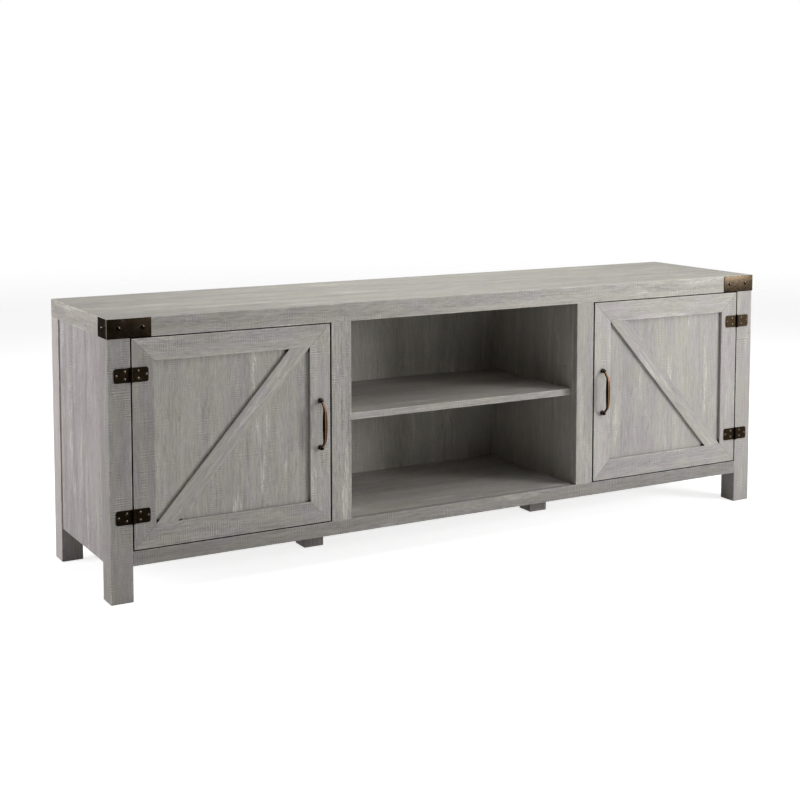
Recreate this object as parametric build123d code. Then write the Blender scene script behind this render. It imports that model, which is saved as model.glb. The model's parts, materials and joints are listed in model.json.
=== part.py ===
"""A low media cabinet: two braced doors beside an open bay with one shelf, on square posts.

X runs to the viewer's right, Y to the back and Z up. The origin is the middle of the whole
object's footprint, on the floor. Everything is in millimetres. Every side piece is drawn on the
right half (X > 0) and mirrored for the left.
"""
from build123d import *
import os

os.makedirs("parts", exist_ok=True)

# ---------------------------------------------------------------- driving dimensions
WIDTH = 1778.0
DEPTH = 403.0
HEIGHT = 610.0
HANDLE_REACH = 28.0            # how far the pulls stand out in front of the doors
TOP_THICKNESS = 42.0
POST = 50.0                    # square posts, stiles and door frame members
BOARD = 16.0                   # side panels, dividers, shelves and the bottom
FACING = 18.0                  # doors, divider stiles and the bottom front rail
BACK_BOARD = 4.0
RAIL_HEIGHT = 32.0
GROUND_CLEARANCE = 78.5        # floor to the underside of the rail and the side panels
SIDE_INSET = 4.0               # side panels sit this far inside the posts' outer faces
BACK_INSET = 16.0              # back panels sit this far inside the posts' rear faces
BAY_HALF = 316.5               # half the width of the open bay
EASED = 0.6                    # every board's edges are lightly eased

HINGE_GAP = 3.0
LATCH_GAP = 4.0
DOOR_GAP_Z = 2.5
PANEL_RECESS = 7.5             # door panel behind the face of its frame
PANEL_THICKNESS = 5.0
GROOVE = 8.0                   # how deep a panel's edge sits in its frame or post
BRACE_RECESS = 0.5

# ---------------------------------------------------------------- places worked out from them
FRONT = -(DEPTH + HANDLE_REACH) / 2 + HANDLE_REACH
BACK = FRONT + DEPTH
SIDE = WIDTH / 2
UNDER_TOP = HEIGHT - TOP_THICKNESS
BAY_FLOOR = GROUND_CLEARANCE + RAIL_HEIGHT
UNDER_FLOOR = BAY_FLOOR - BOARD
POST_INNER = SIDE - POST
SIDE_FACE = SIDE - SIDE_INSET - BOARD
FACING_BACK = FRONT + FACING
BACK_FACE = BACK - BACK_INSET - BACK_BOARD
DIVIDER_OUTER = BAY_HALF + BOARD
DIVIDER_MIDDLE = BAY_HALF + BOARD / 2
STILE_OUTER = BAY_HALF + POST
SIDE_MIDDLE = SIDE_FACE + BOARD / 2
FLOOR_MIDDLE = UNDER_FLOOR + BOARD / 2

DOOR_X = (STILE_OUTER + LATCH_GAP, POST_INNER - HINGE_GAP)
DOOR_Z = (BAY_FLOOR + DOOR_GAP_Z, UNDER_TOP - DOOR_GAP_Z)
PANE_X = (DOOR_X[0] + POST, DOOR_X[1] - POST)
PANE_Z = (DOOR_Z[0] + POST, DOOR_Z[1] - POST)
PANEL_Y = (FRONT + PANEL_RECESS, FRONT + PANEL_RECESS + PANEL_THICKNESS)

nodes = {}                     # node name -> its solids before their fixing holes
holes = {}                     # node name -> the solids that pass into it


def block(x, y, z, eased=0.0):
    """A box between two values on each axis, with its edges eased."""
    size = [abs(high - low) for low, high in (x, y, z)]
    middle = [(low + high) / 2 for low, high in (x, y, z)]
    box = Pos(*middle) * Box(*size)
    return chamfer(box.edges(), eased) if eased else box


def prism(outline, y, eased=0.0):
    """An outline of (x, z) points, taken from one depth to another."""
    face = make_face(Polyline([(px, y[0], pz) for px, pz in outline], close=True))
    solid = extrude(face, amount=y[1] - y[0], dir=(0, 1, 0))
    return chamfer(solid.edges(), eased) if eased else solid


def rod(start, direction, length, radius):
    """A round bar from a point, along a direction."""
    return Plane(start, z_dir=direction) * Cylinder(
        radius, length, align=(Align.CENTER, Align.CENTER, Align.MIN)
    )


def add(name, *solids):
    nodes.setdefault(name, []).extend(solids)


def fix(group, solid, *into):
    """A fastener of a group, with a matching hole in each node that it passes into."""
    add(group, solid)
    for name in into:
        holes.setdefault(name, []).append(solid)


def placed(solid, side):
    return solid if side == "right" else mirror(solid, about=Plane.YZ)


def both(name, solid):
    """The same piece on the right and, mirrored, on the left."""
    for side in ("right", "left"):
        add(name.format(side=side), placed(solid, side))


def fix_both(group, solid, *into):
    for side in ("right", "left"):
        names = [name.format(side=side) for name in into]
        fix(group.format(side=side), placed(solid, side), *names)


def save(name):
    solids = []
    for solid in nodes[name]:
        box = solid.bounding_box()
        tools = [tool for tool in holes.get(name, []) if box.overlaps(tool.bounding_box())]
        solids += (solid - tools).solids() if tools else solid.solids()
    whole = solids[0] if len(solids) == 1 else Compound(children=solids)
    whole.label = name
    export_step(whole, f"parts/{name}.step")


# ---------------------------------------------------------------- carcass boards
GLIDE_SHOWN = 1.0              # a glide's disc is let into the foot except for this much
GLIDE_RADIUS = 11.0
BACK_RAIL_HEIGHT = 50.0
FOOT_X = (301.5, 351.5)
FOOT_Y = (-10.0, 40.0)


def make_carcass():
    add("top_board", block((-SIDE, SIDE), (FRONT, BACK), (UNDER_TOP, HEIGHT), EASED))
    post_z = (GLIDE_SHOWN, UNDER_TOP)
    both("front_post_{side}", block((POST_INNER, SIDE), (FRONT, FRONT + POST), post_z, EASED))
    both("rear_post_{side}", block((POST_INNER, SIDE), (BACK - POST, BACK), post_z, EASED))
    both(
        "side_panel_{side}",
        block((SIDE_FACE, SIDE_FACE + BOARD), (FRONT + POST, BACK - POST),
              (GROUND_CLEARANCE, UNDER_TOP), EASED),
    )
    both(
        "divider_stile_{side}",
        block((BAY_HALF, STILE_OUTER), (FRONT, FACING_BACK), (BAY_FLOOR, UNDER_TOP), EASED),
    )
    add(
        "bottom_front_rail",
        block((-POST_INNER, POST_INNER), (FRONT, FACING_BACK), (GROUND_CLEARANCE, BAY_FLOOR), EASED),
    )
    rail = block(
        (-POST_INNER, POST_INNER), (BACK_FACE - BOARD, BACK_FACE),
        (UNDER_TOP - BACK_RAIL_HEIGHT, UNDER_TOP), EASED,
    )
    add("back_top_rail", rail)
    divider = block((BAY_HALF, DIVIDER_OUTER), (FACING_BACK, BACK_FACE), (BAY_FLOOR, UNDER_TOP), EASED)
    notch = block(
        (0, STILE_OUTER), (BACK_FACE - BOARD, BACK), (UNDER_TOP - BACK_RAIL_HEIGHT, HEIGHT)
    )
    both("divider_{side}", divider - notch)
    bottom = block((-SIDE_FACE, SIDE_FACE), (FACING_BACK, BACK_FACE), (UNDER_FLOOR, BAY_FLOOR), EASED)
    for side in ("right", "left"):
        for ends in ((FRONT, FRONT + POST), (BACK - POST, BACK)):
            bottom -= placed(block((POST_INNER, SIDE), ends, (0, HEIGHT)), side)
    add("bottom_board", bottom)
    both("middle_foot_{side}", block(FOOT_X, FOOT_Y, (GLIDE_SHOWN, UNDER_FLOOR), EASED))


# ---------------------------------------------------------------- back panels and their nails
PORT_RADIUS = 25.0             # round cable port behind each door
PORT_PLACE = (600.0, 180.0)
PANEL_MARGIN = 1.0
NAIL_RADIUS = 0.8
NAIL_LENGTH = 18.0
NAIL_HEAD = (2.0, 0.8)         # radius and thickness
NAIL_INSET = 4.0               # from a panel's edge or seam
NAILS_ACROSS_DOOR = (375.0, 490.0, 605.0, 720.0, 820.0)
NAILS_ACROSS_BAY = (-280.0, -140.0, 0.0, 140.0, 280.0)
NAILS_UP = (190.0, 310.0, 430.0)


def back_nail(x, z):
    """A panel pin driven forwards, with its flat head on the panel's rear face."""
    rear = BACK_FACE + BACK_BOARD
    shank = rod((x, rear, z), (0, -1, 0), NAIL_LENGTH, NAIL_RADIUS)
    head = rod((x, rear, z), (0, 1, 0), NAIL_HEAD[1], NAIL_HEAD[0])
    return shank + head


def make_back():
    y = (BACK_FACE, BACK_FACE + BACK_BOARD)
    z = (UNDER_FLOOR + NAIL_INSET, UNDER_TOP - PANEL_MARGIN)
    seam = DIVIDER_MIDDLE
    centre = block((-seam + PANEL_MARGIN / 2, seam - PANEL_MARGIN / 2), y, z)
    outer = block((seam + PANEL_MARGIN / 2, POST_INNER + GROOVE), y, z)
    add("back_panel_centre", centre)
    for side in ("right", "left"):
        holes.setdefault(f"rear_post_{side}", []).append(placed(outer, side))
    port = rod((PORT_PLACE[0], BACK_FACE - BOARD, PORT_PLACE[1]), (0, 1, 0), 3 * BOARD, PORT_RADIUS)
    both("back_panel_{side}", outer - port)

    rail_line = UNDER_TOP - BACK_RAIL_HEIGHT / 2
    for x in NAILS_ACROSS_DOOR:
        fix_both("back_panel_nails", back_nail(x, FLOOR_MIDDLE), "back_panel_{side}", "bottom_board")
        fix_both("back_panel_nails", back_nail(x, rail_line), "back_panel_{side}", "back_top_rail")
    for x in NAILS_ACROSS_BAY:
        fix("back_panel_nails", back_nail(x, FLOOR_MIDDLE), "back_panel_centre", "bottom_board")
        fix("back_panel_nails", back_nail(x, rail_line), "back_panel_centre", "back_top_rail")
    for z in NAILS_UP:
        outside = back_nail(seam + NAIL_INSET, z)
        inside = back_nail(seam - NAIL_INSET, z)
        fix_both("back_panel_nails", outside, "back_panel_{side}", "divider_{side}")
        fix_both("back_panel_nails", inside, "back_panel_centre", "divider_{side}")


# ---------------------------------------------------------------- shelves and their supports
SHELF_TOP = 351.0
SHELF_SETBACK = 23.5           # the open bay's shelf sits behind the stiles' faces
SHELF_PLAY = 1.5               # each end clears its wall for the supports' plates
SHELF_SPACE_BACK = 1.0
PEG_ABOVE_FLANGE = 7.0
PEG_RADIUS = 2.5
PEG_DEPTH = 7.0
HOLE_STEP = 62.0
SUPPORT_PLATE = 1.2
SUPPORT_SIZE = (12.0, 13.0)    # width along the wall, and height above the flange's underside
BAY_SUPPORT_Y = (FRONT + 52.5, BACK_FACE - 50.0)
CABINET_SUPPORT_Y = (FRONT + POST + 40.0, BACK - POST - 40.0)
SUPPORT_NODE = "shelf_supports"


def shelf_support(wall, y):
    """An L-shaped support, peg to the right, on a wall at x = wall whose room is at smaller x."""
    flange_top = SHELF_TOP - BOARD
    half = SUPPORT_SIZE[0] / 2
    plate = block(
        (wall - SUPPORT_PLATE, wall), (y - half, y + half),
        (flange_top - SUPPORT_PLATE, flange_top - SUPPORT_PLATE + SUPPORT_SIZE[1]),
    )
    flange = block(
        (wall - SUPPORT_SIZE[0], wall), (y - half, y + half), (flange_top - SUPPORT_PLATE, flange_top)
    )
    return plate + flange + rod((wall, y, flange_top + PEG_ABOVE_FLANGE), (1, 0, 0), PEG_DEPTH, PEG_RADIUS)


def drill_peg_holes(wall, y, name):
    """The three peg holes of one row, drilled towards larger x."""
    middle = SHELF_TOP - BOARD + PEG_ABOVE_FLANGE
    for side in ("right", "left"):
        for z in (middle - HOLE_STEP, middle, middle + HOLE_STEP):
            peg = rod((wall, y, z), (1, 0, 0), PEG_DEPTH, PEG_RADIUS)
            holes.setdefault(name.format(side=side), []).append(placed(peg, side))


def flipped(solid, x):
    """The same support on the opposite wall of a compartment whose middle is at x."""
    return mirror(solid, about=Plane.YZ.offset(x))


def make_shelves():
    z = (SHELF_TOP - BOARD, SHELF_TOP)
    bay = BAY_HALF - SHELF_PLAY
    add(
        "centre_shelf",
        block((-bay, bay), (FRONT + SHELF_SETBACK, BACK_FACE - SHELF_SPACE_BACK), z, EASED),
    )
    cabinet_x = (DIVIDER_OUTER + SHELF_PLAY, SIDE_FACE - SHELF_PLAY)
    cabinet_y = (FRONT + POST + SHELF_SPACE_BACK, BACK - POST - SHELF_SPACE_BACK)
    both("cabinet_shelf_{side}", block(cabinet_x, cabinet_y, z, EASED))

    for y in BAY_SUPPORT_Y:
        both(SUPPORT_NODE, shelf_support(BAY_HALF, y))
        drill_peg_holes(BAY_HALF, y, "divider_{side}")
    cabinet_middle = (DIVIDER_OUTER + SIDE_FACE) / 2
    for y in CABINET_SUPPORT_Y:
        outer = shelf_support(SIDE_FACE, y)
        both(SUPPORT_NODE, outer)
        both(SUPPORT_NODE, flipped(outer, cabinet_middle))
        drill_peg_holes(SIDE_FACE, y, "side_panel_{side}")
        drill_peg_holes(DIVIDER_OUTER - PEG_DEPTH, y, "divider_{side}")


# ---------------------------------------------------------------- joinery inside the carcass
DOWEL = (4.0, 24.0)            # radius and length
CAM_LOCK = (7.5, 12.5)         # radius and depth of the round lock
CAM_BOLT_RADIUS = 3.0
CAM_REACH = 34.0               # from the joint to the lock's middle
CAM_THREAD = 10.0              # from the joint into the other board
CONFIRMAT = (2.5, 50.0)        # divider screw's radius and length, and its head's
CONFIRMAT_HEAD = (5.0, 4.0)
HANGER_BOLT = (4.0, 38.0)
HANGER_GRIP = 13.0             # how much of a foot's bolt is in the bottom board
SIDE_DOWELS_Z = (150.0, 320.0, 500.0)
STILE_DOWELS_Z = (200.0, 480.0)
FRONT_RAIL_DOWELS_X = (110.0, 520.0, 760.0)
BACK_RAIL_DOWELS_X = (150.0, 650.0)
DIVIDER_CAMS_Y = (-100.0, 120.0)
SIDE_CAMS_Y = (-60.0, 95.0)
DIVIDER_SCREWS_Y = (-120.0, 150.0)


def dowel(middle, direction):
    start = Vector(*middle) - Vector(*direction) * (DOWEL[1] / 2)
    return rod(start, direction, DOWEL[1], DOWEL[0])


def make_dowels():
    group = "wood_dowels"
    for z in SIDE_DOWELS_Z:
        for y, post in ((FRONT + POST, "front_post_{side}"), (BACK - POST, "rear_post_{side}")):
            fix_both(group, dowel((SIDE_MIDDLE, y, z), (0, 1, 0)), "side_panel_{side}", post)
    for y, post in ((FRONT + POST / 2, "front_post_{side}"), (BACK - POST / 2, "rear_post_{side}")):
        fix_both(group, dowel((SIDE - POST / 2, y, UNDER_TOP), (0, 0, 1)), "top_board", post)
    for z in STILE_DOWELS_Z:
        pin = dowel((DIVIDER_MIDDLE, FACING_BACK, z), (0, 1, 0))
        fix_both(group, pin, "divider_{side}", "divider_stile_{side}")
    for x in FRONT_RAIL_DOWELS_X:
        pin = dowel((x, FACING_BACK, FLOOR_MIDDLE), (0, 1, 0))
        fix_both(group, pin, "bottom_board", "bottom_front_rail")
    rail_end = (POST_INNER, FRONT + FACING / 2, GROUND_CLEARANCE + RAIL_HEIGHT / 2)
    fix_both(group, dowel(rail_end, (1, 0, 0)), "bottom_front_rail", "front_post_{side}")
    rail_end = (POST_INNER, BACK_FACE - BOARD / 2, UNDER_TOP - BACK_RAIL_HEIGHT / 2)
    fix_both(group, dowel(rail_end, (1, 0, 0)), "back_top_rail", "rear_post_{side}")
    for x in BACK_RAIL_DOWELS_X:
        pin = dowel((x, BACK_FACE - BOARD / 2, UNDER_TOP), (0, 0, 1))
        fix_both(group, pin, "back_top_rail", "top_board")


def cam_joint(joint, bolt_way, lock_start, lock_way, locked, threaded):
    """A bolt from inside one board to the round lock that pulls on its head in the other."""
    start = Vector(*joint) - Vector(*bolt_way) * CAM_REACH
    bolt = rod(start, bolt_way, CAM_REACH + CAM_THREAD, CAM_BOLT_RADIUS)
    lock = rod(lock_start, lock_way, CAM_LOCK[1], CAM_LOCK[0])
    fix_both("cam_bolts", bolt, locked, threaded)
    fix_both("cam_locks", lock - bolt, locked)


def make_cams():
    lock_z = UNDER_TOP - CAM_REACH
    for y in DIVIDER_CAMS_Y:
        cam_joint(
            (DIVIDER_MIDDLE, y, UNDER_TOP), (0, 0, 1), (DIVIDER_OUTER, y, lock_z), (-1, 0, 0),
            "divider_{side}", "top_board",
        )
    for y in SIDE_CAMS_Y:
        cam_joint(
            (SIDE_MIDDLE, y, UNDER_TOP), (0, 0, 1), (SIDE_FACE, y, lock_z), (1, 0, 0),
            "side_panel_{side}", "top_board",
        )
        cam_joint(
            (SIDE_FACE, y, FLOOR_MIDDLE), (1, 0, 0), (SIDE_FACE - CAM_REACH, y, UNDER_FLOOR), (0, 0, 1),
            "bottom_board", "side_panel_{side}",
        )


def make_screwed_joints():
    for y in DIVIDER_SCREWS_Y:
        shank = rod((DIVIDER_MIDDLE, y, UNDER_FLOOR), (0, 0, 1), CONFIRMAT[1], CONFIRMAT[0])
        head = rod((DIVIDER_MIDDLE, y, UNDER_FLOOR), (0, 0, 1), CONFIRMAT_HEAD[1], CONFIRMAT_HEAD[0])
        fix_both("divider_screws", shank + head, "bottom_board", "divider_{side}")
    foot = (sum(FOOT_X) / 2, sum(FOOT_Y) / 2, UNDER_FLOOR + HANGER_GRIP)
    bolt = rod(foot, (0, 0, -1), HANGER_BOLT[1], HANGER_BOLT[0])
    fix_both("foot_hanger_bolts", bolt, "bottom_board", "middle_foot_{side}")


GLIDE_THICKNESS = 2.0
GLIDE_STEM = (1.2, 14.0)       # radius and length


def make_glides():
    """A nail-on glide under each of the six feet."""
    front_y, rear_y = FRONT + POST / 2, BACK - POST / 2
    feet = (
        (SIDE - POST / 2, front_y, "front_post_{side}"),
        (SIDE - POST / 2, rear_y, "rear_post_{side}"),
        (sum(FOOT_X) / 2, sum(FOOT_Y) / 2, "middle_foot_{side}"),
    )
    for x, y, foot in feet:
        disc = rod((x, y, 0), (0, 0, 1), GLIDE_THICKNESS, GLIDE_RADIUS)
        stem = rod((x, y, 0), (0, 0, 1), GLIDE_STEM[1], GLIDE_STEM[0])
        fix_both("foot_glides", disc + stem, foot)


# ---------------------------------------------------------------- screws, catches and brackets
WOOD_SCREW = (1.5, 14.0)       # shank radius and length
WOOD_SCREW_HEAD = (3.0, 1.1)   # dome radius and height
CROSS = (3.4, 0.7, 0.5)        # the driver recess: length, width and depth


def dome(radius, height):
    """A cap of a sphere that stands on the XY plane."""
    ball = (radius ** 2 + height ** 2) / (2 * height)
    return Pos(0, 0, height - ball) * Sphere(ball) & Box(
        4 * radius, 4 * radius, height, align=(Align.CENTER, Align.CENTER, Align.MIN)
    )


def wood_screw(at, outward):
    """A domed cross-head screw whose head rests at a point and faces outward."""
    head = dome(*WOOD_SCREW_HEAD)
    top = WOOD_SCREW_HEAD[1]
    for length, width in (CROSS[:2], CROSS[1::-1]):
        half, across = length / 2, width / 2
        head -= block((-half, half), (-across, across), (top - CROSS[2], 2 * top))
    screw = head + rod((0, 0, 0), (0, 0, -1), WOOD_SCREW[1], WOOD_SCREW[0])
    return Plane(at, z_dir=outward) * screw


STRIKE = (38.0, 1.2, 12.0)     # width, thickness and height
STRIKE_INSET = (4.5, 1.5)      # from the door's free edge and from its top
STRIKE_PIN = (1.0, 6.0)        # radius, and length into the door
STRIKE_PIN_OUT = 14.0          # each pin from the plate's middle
CATCH_GAP = 0.25               # from the strike plate to the magnet on a closed door
CATCH_BODY = (26.0, 14.0, 11.0)
CATCH_FLANGE = (46.0, 12.0, 3.0)
MAGNET = (18.0, 6.0, 7.0)
MAGNET_PROUD = 0.25
MAGNET_LIFT = 1.5              # above the catch's underside
CATCH_SCREW_OUT = 18.4         # each screw from the catch's middle
CATCH_X = DOOR_X[0] + STRIKE_INSET[0] + STRIKE[0] / 2


def make_catches():
    """A magnetic catch under the top board, behind the free corner of each door."""
    x = CATCH_X
    front = FACING_BACK + STRIKE[1] + CATCH_GAP + MAGNET_PROUD
    middle_y = front + CATCH_BODY[1] / 2
    body = block(
        (x - CATCH_BODY[0] / 2, x + CATCH_BODY[0] / 2), (front, front + CATCH_BODY[1]),
        (UNDER_TOP - CATCH_BODY[2], UNDER_TOP),
    )
    flange = block(
        (x - CATCH_FLANGE[0] / 2, x + CATCH_FLANGE[0] / 2),
        (middle_y - CATCH_FLANGE[1] / 2, middle_y + CATCH_FLANGE[1] / 2),
        (UNDER_TOP - CATCH_FLANGE[2], UNDER_TOP),
    )
    both("magnetic_catches", body + flange)
    magnet_z = UNDER_TOP - CATCH_BODY[2] + MAGNET_LIFT
    magnet = block(
        (x - MAGNET[0] / 2, x + MAGNET[0] / 2), (front - MAGNET_PROUD, front - MAGNET_PROUD + MAGNET[1]),
        (magnet_z, magnet_z + MAGNET[2]),
    )
    fix_both("catch_magnets", magnet, "magnetic_catches")
    for way in (-1, 1):
        spot = (x + way * CATCH_SCREW_OUT, middle_y, UNDER_TOP - CATCH_FLANGE[2])
        fix_both("cabinet_wood_screws", wood_screw(spot, (0, 0, -1)), "magnetic_catches", "top_board")


BRACKET = 1.5                  # sheet thickness of the corner brackets
BRACKET_ARMS = (97.0, 55.0)    # along the front and along the side
BRACKET_Z = (569.5, 609.5)
BRACKET_CORNER = 1.2
BRACKET_NAILS = (25.0, 78.0)   # from the corner, along the front
BRACKET_SIDE_NAIL = 30.0
DOME_NAIL = (5.0, 2.4)         # dome radius and height
DOME_NAIL_SHANK = (1.2, 16.0)  # radius and length


def dome_nail(at, outward):
    shank = rod((0, 0, 0), (0, 0, -1), DOME_NAIL_SHANK[1], DOME_NAIL_SHANK[0])
    return Plane(at, z_dir=outward) * (dome(*DOME_NAIL) + shank)


def make_corner_brackets():
    """A bent sheet bracket on each front corner of the top board, held by domed nails."""
    outer = block(
        (SIDE - BRACKET_ARMS[0], SIDE + BRACKET), (FRONT - BRACKET, FRONT + BRACKET_ARMS[1]), BRACKET_Z
    )
    corner = outer.edges().filter_by(Axis.Z).sort_by(lambda edge: edge.center().X - edge.center().Y)[-1]
    outer = fillet(corner, BRACKET_CORNER)
    both("corner_bracket_{side}", outer - block((0, SIDE), (FRONT, BACK), (0, 2 * HEIGHT)))
    z = sum(BRACKET_Z) / 2
    for out in BRACKET_NAILS:
        nail = dome_nail((SIDE - out, FRONT - BRACKET, z), (0, -1, 0))
        fix_both("bracket_nails", nail, "corner_bracket_{side}", "top_board")
    nail = dome_nail((SIDE + BRACKET, FRONT + BRACKET_SIDE_NAIL, z), (1, 0, 0))
    fix_both("bracket_nails", nail, "corner_bracket_{side}", "top_board")


# ---------------------------------------------------------------- hinges
HINGE_HEIGHTS = {"lower": 186.0, "upper": 489.0}
HINGE_HEIGHT = 31.0
LEAF_LENGTH = 38.0             # from the pin to the leaf's end
LEAF = 1.6                     # leaf thickness
LEAF_CORNER = 5.0
BARREL_RADIUS = 3.2
BARREL_STANDOFF = 3.4          # pin axis in front of the faces
PIN_RADIUS = 1.5
RUNNING = 0.05                 # radial play of the door's knuckle on the pin
KNUCKLE = 10.0
KNUCKLE_PLAY = 0.3
LEAF_START = 3.6               # the flat leaf begins this far from the pin
PIN_HEAD = (2.4, 1.2)          # dome radius and height
LEAF_SCREWS = ((15.0, 8.0), (15.0, -8.0), (33.0, 0.0))  # out from the pin, and up
HINGE_X = (DOOR_X[1] + POST_INNER) / 2
HINGE_Y = FRONT - BARREL_STANDOFF


def hinge_leaf(z, way, spans, bore):
    """A leaf from the pin towards way * X, with knuckles over the given heights about z."""
    plate = block(
        (HINGE_X + way * LEAF_START, HINGE_X + way * LEAF_LENGTH), (FRONT - LEAF, FRONT),
        (z - HINGE_HEIGHT / 2, z + HINGE_HEIGHT / 2),
    )
    end = plate.edges().filter_by(Axis.Y).sort_by(lambda edge: way * edge.center().X)[-2:]
    leaf = fillet(end, LEAF_CORNER)
    for low, high in spans:
        leaf += block((HINGE_X, HINGE_X + way * LEAF_START), (FRONT - LEAF, FRONT), (z + low, z + high))
        leaf += rod((HINGE_X, HINGE_Y, z + low), (0, 0, 1), high - low, BARREL_RADIUS)
    return leaf - rod((HINGE_X, HINGE_Y, z - HINGE_HEIGHT), (0, 0, 1), 2 * HINGE_HEIGHT, bore)


def make_hinges():
    half = HINGE_HEIGHT / 2
    middle = ((-KNUCKLE / 2, KNUCKLE / 2),)
    ends = ((-half, -KNUCKLE / 2 - KNUCKLE_PLAY), (KNUCKLE / 2 + KNUCKLE_PLAY, half))
    for z in HINGE_HEIGHTS.values():
        both("post_hinge_leaves", hinge_leaf(z, 1, ends, PIN_RADIUS))
        both("{side}_door_hinge_leaves", hinge_leaf(z, -1, middle, PIN_RADIUS + RUNNING))
        pin = rod((HINGE_X, HINGE_Y, z - half), (0, 0, 1), HINGE_HEIGHT, PIN_RADIUS)
        for tip, way in ((z + half, 1), (z - half, -1)):
            pin += Plane((HINGE_X, HINGE_Y, tip), z_dir=(0, 0, way)) * dome(*PIN_HEAD)
        both("hinge_pins", pin)
        for dx, dz in LEAF_SCREWS:
            outer = wood_screw((HINGE_X + dx, FRONT - LEAF, z + dz), (0, -1, 0))
            fix_both("cabinet_wood_screws", outer, "post_hinge_leaves", "front_post_{side}")
            inner = wood_screw((HINGE_X - dx, FRONT - LEAF, z + dz), (0, -1, 0))
            fix_both("{side}_door_wood_screws", inner, "{side}_door_hinge_leaves", "{side}_door_hinge_stile")


# ---------------------------------------------------------------- doors
def make_doors():
    x0, x1, z0, z1 = *DOOR_X, *DOOR_Z
    u0, u1, v0, v1 = *PANE_X, *PANE_Z
    depth = (FRONT, FACING_BACK)
    members = {
        "latch_stile": [(x0, z0), (u0, v0), (u0, v1), (x0, z1)],
        "hinge_stile": [(x1, z0), (x1, z1), (u1, v1), (u1, v0)],
        "top_rail": [(x0, z1), (u0, v1), (u1, v1), (x1, z1)],
        "bottom_rail": [(x0, z0), (x1, z0), (u1, v0), (u0, v0)],
    }
    for name, outline in members.items():
        both("{side}_door_" + name, prism(outline, depth, EASED))
        for side in ("right", "left"):
            panel = block((u0 - GROOVE, u1 + GROOVE), PANEL_Y, (v0 - GROOVE, v1 + GROOVE))
            holes.setdefault(f"{side}_door_{name}", []).append(placed(panel, side))
    both("{side}_door_panel", block((u0 - GROOVE, u1 + GROOVE), PANEL_Y, (v0 - GROOVE, v1 + GROOVE)))
    brace = [(u1, v0), (u1 - POST, v0), (u0, v1), (u0 + POST, v1)]
    both("{side}_door_brace", prism(brace, (FRONT + BRACE_RECESS, PANEL_Y[0]), EASED))

    width, thickness, height = STRIKE
    strike_top = DOOR_Z[1] - STRIKE_INSET[1]
    strike_x = (CATCH_X - width / 2, CATCH_X + width / 2)
    plate = block(strike_x, (FACING_BACK, FACING_BACK + thickness), (strike_top - height, strike_top))
    both("{side}_door_strike_plate", plate)
    for way in (-1, 1):
        spot = (CATCH_X + way * STRIKE_PIN_OUT, FACING_BACK + thickness, strike_top - height / 2)
        pin = rod(spot, (0, -1, 0), STRIKE_PIN[1] + thickness, STRIKE_PIN[0])
        fix_both("{side}_door_wood_screws", pin, "{side}_door_strike_plate", "{side}_door_top_rail",
                 "{side}_door_latch_stile")


# ---------------------------------------------------------------- bow pulls
PULL_X = DOOR_X[0] + POST / 2
PULL_Z = sum(DOOR_Z) / 2
PULL_CENTRES = 107.0
PULL_FOOT = (6.5, 2.5)         # rosette radius and thickness
PULL_ROD = 3.0
PULL_KNOB = 5.2                # the bead where an arm leaves its foot
PULL_KNOB_OUT = 7.5
PULL_GRIP_OUT = 23.0           # grip's middle line in front of the door
PULL_GRIP = 5.0                # grip's radius at its middle, and at its ends
PULL_GRIP_END = 3.4
PULL_GRIP_HALF = 36.0
PULL_ARM_OUT = 11.5            # where an arm turns from its foot towards the grip
PULL_BEND = 6.0
PULL_SCREW = (2.0, 26.0)
PULL_SCREW_HEAD = (4.2, 2.4)


def make_pulls():
    """A cast bow pull on each free stile, screwed from behind."""
    half = PULL_CENTRES / 2
    grip_y = FRONT - PULL_GRIP_OUT
    line = FilletPolyline(
        (PULL_X, FRONT, PULL_Z + half),
        (PULL_X, FRONT - PULL_ARM_OUT, PULL_Z + half),
        (PULL_X, grip_y, PULL_Z + PULL_GRIP_HALF),
        (PULL_X, grip_y, PULL_Z - PULL_GRIP_HALF),
        (PULL_X, FRONT - PULL_ARM_OUT, PULL_Z - half),
        (PULL_X, FRONT, PULL_Z - half),
        radius=PULL_BEND,
    )
    pull = sweep(Plane(line @ 0, z_dir=line % 0) * Circle(PULL_ROD), path=line)
    swell = Spline(
        (PULL_GRIP_END, -PULL_GRIP_HALF), (PULL_GRIP, 0), (PULL_GRIP_END, PULL_GRIP_HALF)
    )
    section = make_face([swell, Polyline(swell @ 1, (0, PULL_GRIP_HALF), (0, -PULL_GRIP_HALF), swell @ 0)])
    pull += Pos(PULL_X, grip_y, PULL_Z) * revolve(Plane.XZ * section, Axis.Z)
    for way in (-1, 1):
        foot = (PULL_X, FRONT, PULL_Z + way * half)
        pull += rod(foot, (0, -1, 0), PULL_FOOT[1], PULL_FOOT[0])
        pull += Pos(PULL_X, FRONT - PULL_KNOB_OUT, foot[2]) * Sphere(PULL_KNOB)
    both("{side}_door_pull", pull)
    for way in (-1, 1):
        spot = (PULL_X, FACING_BACK, PULL_Z + way * half)
        screw = rod(spot, (0, -1, 0), PULL_SCREW[1], PULL_SCREW[0])
        screw += rod(spot, (0, 1, 0), PULL_SCREW_HEAD[1], PULL_SCREW_HEAD[0])
        fix_both("{side}_door_pull_screws", screw, "{side}_door_latch_stile", "{side}_door_pull")


make_carcass()
make_back()
make_shelves()
make_dowels()
make_cams()
make_screwed_joints()
make_glides()
make_catches()
make_corner_brackets()
make_hinges()
make_doors()
make_pulls()
for node in nodes:
    save(node)
print(len(nodes), "nodes")
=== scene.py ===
"""The looks of a low farmhouse media cabinet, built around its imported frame.

Everything is in metres in the cabinet's own frame: X to the viewer's right, Y to the back, Z up.
The boards, hinges and fasteners are the frame's own nodes with procedural materials. The pulls
and the corner brackets are modelled here, in the places that the frame gives.
"""
import json
import math

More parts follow.
